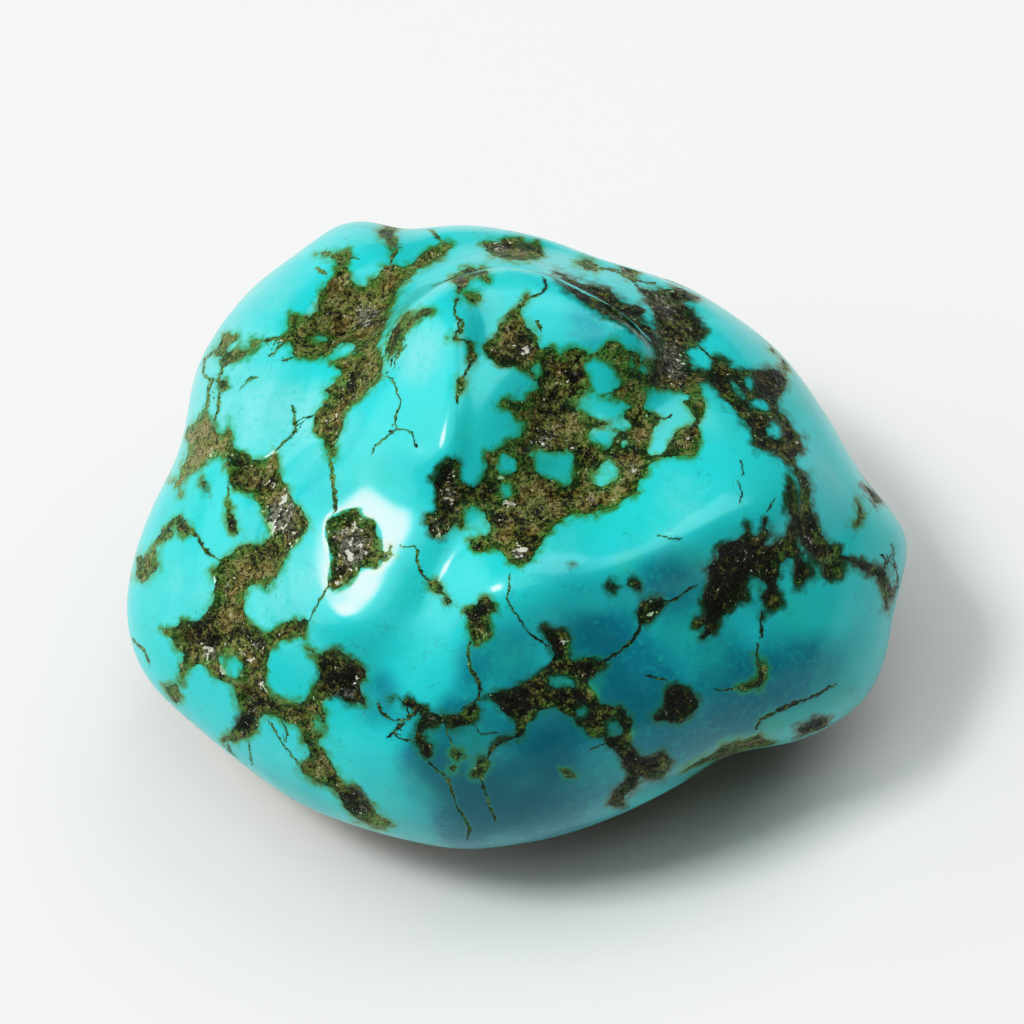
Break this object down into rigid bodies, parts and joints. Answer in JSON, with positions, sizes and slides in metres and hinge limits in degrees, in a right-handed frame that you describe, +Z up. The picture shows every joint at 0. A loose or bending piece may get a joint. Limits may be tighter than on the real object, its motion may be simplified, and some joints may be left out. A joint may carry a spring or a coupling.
{
  "type": "turquoise nugget",
  "caption": "Tumble-polished turquoise nugget: a rounded, lumpy natural stone with brown matrix between its blue cells, resting on a worn flat.",
  "frame": {"origin": "bottom centre of the stone's box, on the flat that it rests on", "axes": "+X along the stone's length, +Z up, so that the broad polished face looks towards -Y and up"},
  "size_m": [0.04, 0.0336, 0.0254],
  "materials": {
    "turquoise_with_matrix": "polished"
  },
  "bodies": {
    "root": {"turquoise_nugget": "turquoise_with_matrix"}
  },
  "joints": []
}
